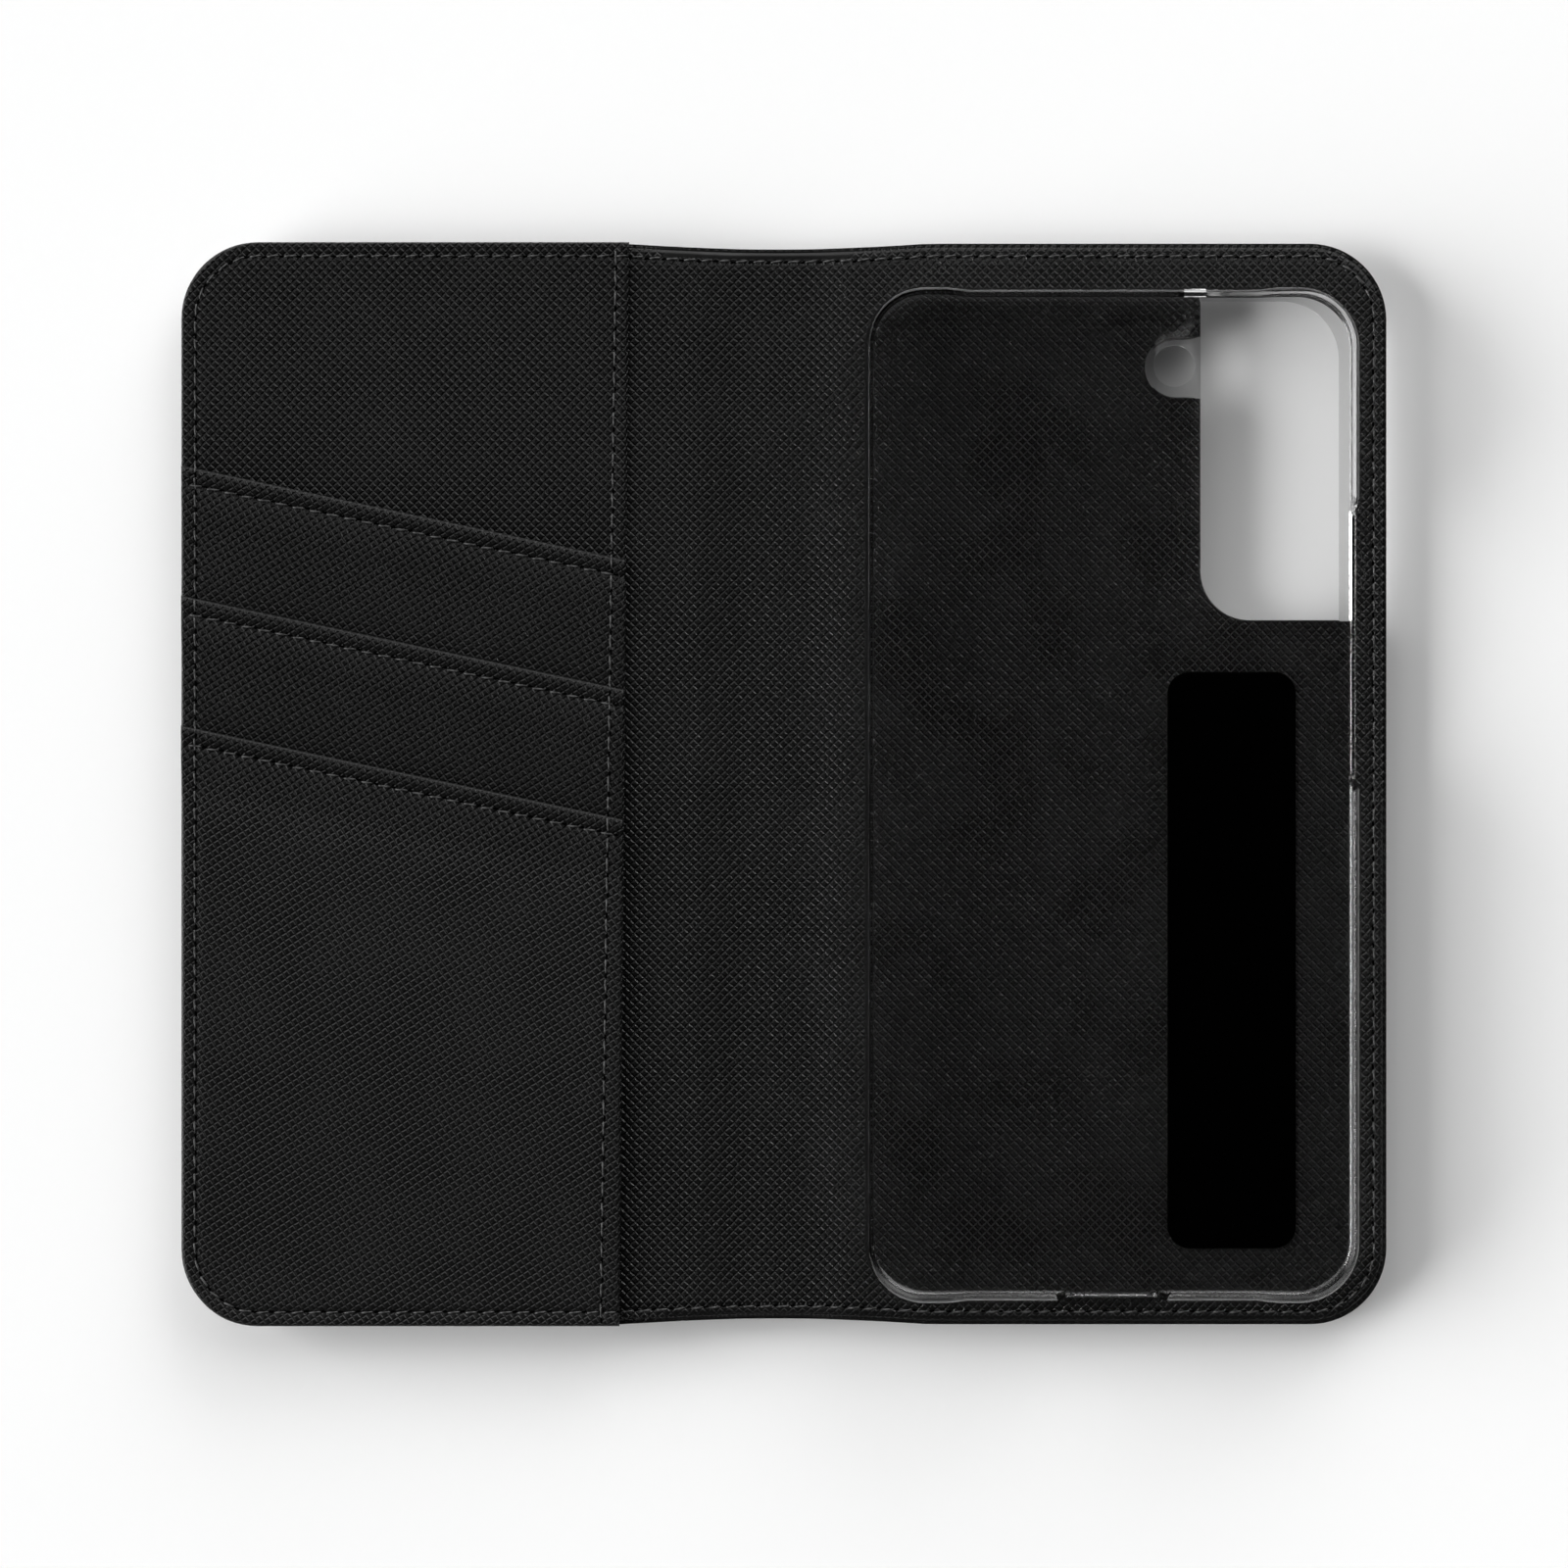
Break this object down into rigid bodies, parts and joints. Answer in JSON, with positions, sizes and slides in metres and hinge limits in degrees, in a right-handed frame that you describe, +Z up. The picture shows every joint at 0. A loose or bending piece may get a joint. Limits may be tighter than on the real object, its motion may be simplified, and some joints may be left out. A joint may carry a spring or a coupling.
{
  "type": "phone wallet case",
  "caption": "Folding wallet case lying open: a front cover with slanted card slots and a bill pocket, a soft spine, and a back cover with a clear snap-in phone tray.",
  "frame": {"origin": "middle of the open case in plan, on the surface that it lies on", "axes": "+X across the open case from the pockets to the phone tray, +Y up the phone towards the camera, +Z up out of the lining, towards someone who looks into the open case"},
  "size_m": [0.1766, 0.1588, 0.0118],
  "materials": {
    "outer_leather": "black cross-hatched faux leather, satin",
    "lining_leather": "black cross-hatched faux leather, satin",
    "pocket_leather": "black cross-hatched faux leather, satin, flatter along the seams",
    "board": "dense grey-brown paperboard, matt",
    "liner_fabric": "thin black woven lining fabric",
    "sewing_thread": "waxed black polyester thread, slightly glossy",
    "adhesive": "dead-matt black foam adhesive",
    "clear_plastic": "clear moulded polycarbonate, glossy"
  },
  "bodies": {
    "back_cover": {"back_outer_skin": "outer_leather", "back_inner_board": "board", "back_outer_board": "board", "back_lining": "lining_leather", "back_edge_thread": "sewing_thread", "adhesive_pad": "adhesive", "phone_tray": "clear_plastic"},
    "spine": {"spine_outer_skin": "outer_leather", "spine_lining": "lining_leather", "spine_edge_thread": "sewing_thread"},
    "front_cover": {"front_outer_skin": "outer_leather", "front_board": "board", "front_lining": "lining_leather", "bill_pocket_panel": "pocket_leather", "card_facing_1": "pocket_leather", "card_facing_2": "pocket_leather", "card_facing_3": "pocket_leather", "card_liner_1": "liner_fabric", "card_liner_2": "liner_fabric", "front_edge_thread": "sewing_thread", "pocket_hem_thread": "sewing_thread", "slot_thread_1": "sewing_thread", "slot_thread_2": "sewing_thread", "slot_thread_3": "sewing_thread"}
  },
  "joints": [
    {"name": "back_fold", "type": "hinge", "parent": "back_cover", "child": "spine", "pos_m": [0.0094, 0, 0.0006], "axis": [0, 1, 0], "range_deg": [-90, 90]},
    {"name": "front_fold", "type": "hinge", "parent": "spine", "child": "front_cover", "pos_m": [-0.0116, 0, 0.0006], "axis": [0, 1, 0], "range_deg": [-90, 90]}
  ]
}
